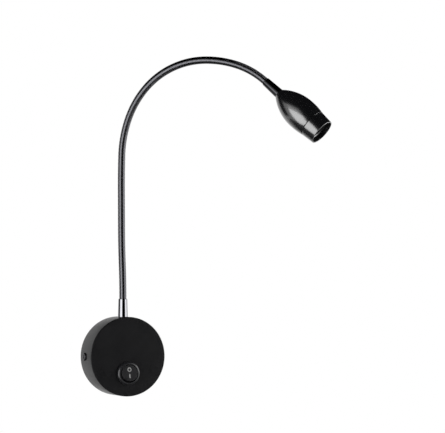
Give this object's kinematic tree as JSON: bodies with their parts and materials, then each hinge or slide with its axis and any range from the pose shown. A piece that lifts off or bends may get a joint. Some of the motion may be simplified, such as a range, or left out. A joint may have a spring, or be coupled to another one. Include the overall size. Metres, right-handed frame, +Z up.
{
  "type": "bedside wall reading lamp",
  "caption": "Round wall base with a rocker switch, a ribbed gooseneck that bends where it is put, and a small bullet-shaped LED head.",
  "frame": {"origin": "centre of the base's back face, on the wall", "axes": "+Y into the wall, +Z up along the lower ferrule, -Y out of the base's front"},
  "size_m": [0.2006, 0.1806, 0.3408],
  "materials": {
    "base_paint": "matt black powder coat, fine sandy texture",
    "satin_steel": "zinc-plated pressed steel",
    "black_nylon": "moulded black nylon",
    "terminal_plastic": "moulded natural polyamide",
    "brass_parts": "turned brass",
    "driver_plastic": "moulded white polycarbonate",
    "board_laminate": "glass-fibre board with green solder mask",
    "winding_tape": "polyester tape over ferrite",
    "wire_sleeve": "extruded wire insulation",
    "switch_plastic": "moulded black nylon, fine grain",
    "rocker_plastic": "moulded black nylon, fine grain",
    "hose_metal": "black-chromed wound steel",
    "polished_ferrule": "polished and plated steel",
    "head_finish": "satin black baked enamel on aluminium",
    "raw_aluminium": "turned aluminium",
    "board_white": "aluminium board with white solder mask",
    "led_package": "silicone over phosphor",
    "lens_acrylic": "moulded clear acrylic",
    "seal_rubber": "moulded silicone"
  },
  "bodies": {
    "base": {"base_cover": "base_paint", "wall_plate": "satin_steel", "cable_bush": "black_nylon", "cover_screws": "satin_steel", "earth_screw": "satin_steel", "terminal_block": "terminal_plastic", "terminal_sleeves": "brass_parts", "terminal_screws": "satin_steel", "driver_case": "driver_plastic", "driver_lid": "driver_plastic", "driver_board": "board_laminate", "driver_transformer": "winding_tape", "driver_capacitor": "seal_rubber", "driver_screws": "satin_steel", "mains_wires": "wire_sleeve", "output_wires": "wire_sleeve", "switch_housing": "switch_plastic", "switch_terminals": "brass_parts", "lower_ferrule": "polished_ferrule", "ferrule_washer": "satin_steel", "ferrule_nut": "satin_steel", "hose_segment_01": "hose_metal", "lead_segment_01": "wire_sleeve"},
    "rocker": {"switch_rocker": "rocker_plastic", "rocker_plunger": "driver_plastic", "rocker_spring": "satin_steel"},
    "contact": {"contact_lever": "brass_parts"},
    "neck_02": {"hose_segment_02": "hose_metal", "lead_segment_02": "wire_sleeve"},
    "neck_03": {"hose_segment_03": "hose_metal", "lead_segment_03": "wire_sleeve"},
    "neck_04": {"hose_segment_04": "hose_metal", "lead_segment_04": "wire_sleeve"},
    "neck_05": {"hose_segment_05": "hose_metal", "lead_segment_05": "wire_sleeve"},
    "neck_06": {"hose_segment_06": "hose_metal", "lead_segment_06": "wire_sleeve"},
    "neck_07": {"hose_segment_07": "hose_metal", "lead_segment_07": "wire_sleeve"},
    "neck_08": {"hose_segment_08": "hose_metal", "lead_segment_08": "wire_sleeve"},
    "neck_09": {"hose_segment_09": "hose_metal", "lead_segment_09": "wire_sleeve"},
    "head": {"hose_segment_10": "hose_metal", "lead_segment_10": "wire_sleeve", "upper_ferrule": "polished_ferrule", "head_body": "head_finish", "head_bezel": "head_finish", "head_washer": "satin_steel", "head_nut": "satin_steel", "heat_sink": "raw_aluminium", "thermal_pad": "raw_aluminium", "led_board": "board_white", "led_emitter": "led_package", "led_board_screws": "satin_steel", "lens_holder": "black_nylon", "lens": "lens_acrylic", "lens_seal": "seal_rubber", "led_wires": "wire_sleeve"}
  },
  "joints": [
    {"name": "neck_bend_1", "type": "hinge", "parent": "base", "child": "neck_02", "pos_m": [-0.00052, -0.0142, 0.09424], "axis": [0.723, 0.6909, 0], "range_deg": [-5, 35]},
    {"name": "neck_sway_2", "type": "hinge", "parent": "neck_02", "child": "neck_03", "pos_m": [-0.00111, -0.01358, 0.13048], "axis": [-0.6909, 0.723, -0.0052], "range_deg": [-30, 30]},
    {"name": "neck_bend_3", "type": "hinge", "parent": "neck_03", "child": "neck_04", "pos_m": [-0.00127, -0.01342, 0.16673], "axis": [0.723, 0.6909, 0], "range_deg": [-10, 35]},
    {"name": "neck_sway_4", "type": "hinge", "parent": "neck_04", "child": "neck_05", "pos_m": [-0.00103, -0.01368, 0.20297], "axis": [-0.6906, 0.7227, 0.0262], "range_deg": [-30, 30]},
    {"name": "neck_bend_5", "type": "hinge", "parent": "neck_05", "child": "neck_06", "pos_m": [0.00354, -0.01845, 0.23846], "axis": [0.723, 0.6909, 0], "range_deg": [-40, 20]},
    {"name": "neck_sway_6", "type": "hinge", "parent": "neck_06", "child": "neck_07", "pos_m": [0.01632, -0.03183, 0.26937], "axis": [-0.5118, 0.5356, 0.6717], "range_deg": [-30, 30]},
    {"name": "neck_bend_7", "type": "hinge", "parent": "neck_07", "child": "neck_08", "pos_m": [0.03661, -0.05306, 0.29012], "axis": [0.723, 0.6909, 0], "range_deg": [-40, 20]},
    {"name": "neck_sway_8", "type": "hinge", "parent": "neck_08", "child": "neck_09", "pos_m": [0.06102, -0.0786, 0.29702], "axis": [0.0072, -0.0076, 0.9999], "range_deg": [-30, 30]},
    {"name": "neck_bend_9", "type": "hinge", "parent": "neck_09", "child": "head", "pos_m": [0.08562, -0.10435, 0.29106], "axis": [0.723, 0.6909, 0], "range_deg": [-40, 20]},
    {"name": "rocker_tilt", "type": "hinge", "parent": "base", "child": "rocker", "pos_m": [0, -0.0309, -0.0168], "axis": [1, 0, 0], "range_deg": [0, 21]},
    {"name": "contact_tilt", "type": "hinge", "parent": "base", "child": "contact", "pos_m": [0, -0.0189, -0.0168], "axis": [1, 0, 0], "range_deg": [-12, 0]}
  ],
  "couplings": [
    {"joint": "contact_tilt", "follows": "rocker_tilt", "ratio": -0.571}
  ]
}
